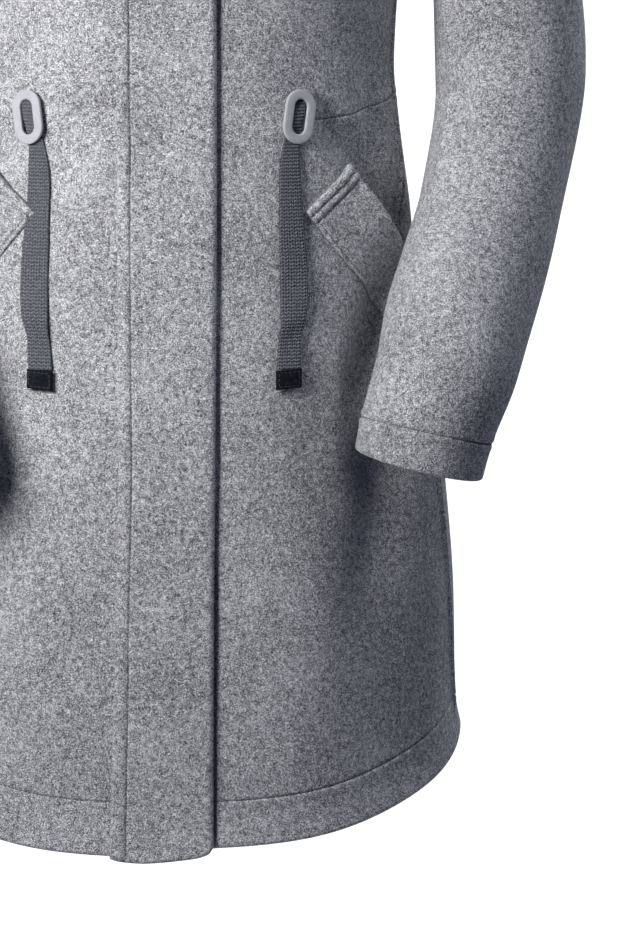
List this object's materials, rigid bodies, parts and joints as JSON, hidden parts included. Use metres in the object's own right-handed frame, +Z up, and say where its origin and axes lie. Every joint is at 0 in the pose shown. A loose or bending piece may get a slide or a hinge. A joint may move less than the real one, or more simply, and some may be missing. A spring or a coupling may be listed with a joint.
{
  "type": "hooded felt parka",
  "caption": "Knee-length hooded felt parka with a lapped front placket, slanted welt pockets, two-piece sleeves and waist drawcords with oval keepers, in its worn shape and open.",
  "frame": {"origin": "middle of the neck opening, level with the side neck points, where the wearer's shoulders hold the coat", "axes": "+Z up, the front faces -Y and the wearer's left is +X"},
  "size_m": [0.6058, 0.3718, 1.0203],
  "materials": {
    "felt": "matt heathered grey wool felt",
    "webbing": "dark grey braided webbing",
    "keeper": "matt light grey",
    "tab": "matt black"
  },
  "bodies": {
    "root": {"front_left": "felt", "front_right": "felt", "back": "felt", "placket": "felt", "sleeve_left_upper": "felt", "sleeve_left_under": "felt", "hood_left": "felt", "pocket_welt_left": "felt", "sleeve_right_upper": "felt", "sleeve_right_under": "felt", "hood_right": "felt", "pocket_welt_right": "felt", "drawcord_left": "webbing", "drawcord_right": "webbing", "cord_keeper_left": "keeper", "cord_keeper_right": "keeper", "cord_tab_left": "tab", "cord_tab_right": "tab"}
  },
  "joints": []
}
